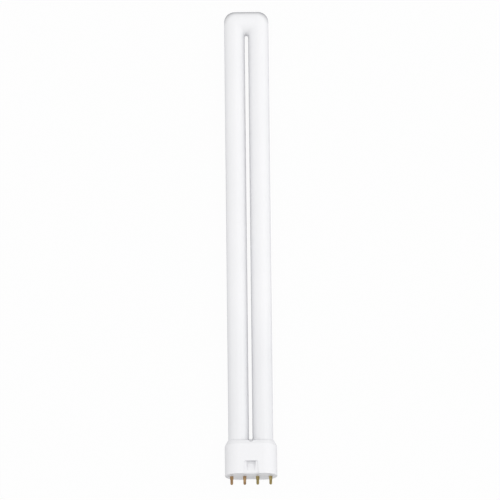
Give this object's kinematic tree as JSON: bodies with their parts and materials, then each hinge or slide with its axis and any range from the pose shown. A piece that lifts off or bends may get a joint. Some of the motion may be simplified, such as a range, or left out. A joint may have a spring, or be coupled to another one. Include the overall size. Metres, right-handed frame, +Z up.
{
  "type": "four pin compact fluorescent lamp",
  "caption": "Long folded tube lamp: parallel white glass legs joined by a square shouldered bend, in a rounded white cap with latch recesses and a row of brass pins.",
  "frame": {"origin": "centre of the cap's flat end face, which seats in the lamp holder, on the lamp's long axis", "axes": "+Y along the lamp from the cap to the closed end of the glass, +X along the row of pins, +Z up out of the broad side; the lamp lies on its other broad side"},
  "size_m": [0.0444, 0.4183, 0.0238],
  "materials": {
    "coated_glass": "clear glass over a white powder coat inside, opaque, smooth and glossy",
    "cap_plastic": "moulded white plastic, satin",
    "cement": "cast pale cement, matte",
    "pin_brass": "drawn brass, slightly dulled",
    "lead_metal": "plated wire, dull"
  },
  "bodies": {
    "root": {"discharge_tube": "coated_glass", "cap_shell": "cap_plastic", "basing_cement": "cement", "contact_pin_1": "pin_brass", "contact_pin_2": "pin_brass", "contact_pin_3": "pin_brass", "contact_pin_4": "pin_brass", "lead_wire_1": "lead_metal", "lead_wire_2": "lead_metal", "lead_wire_3": "lead_metal", "lead_wire_4": "lead_metal"}
  },
  "joints": []
}
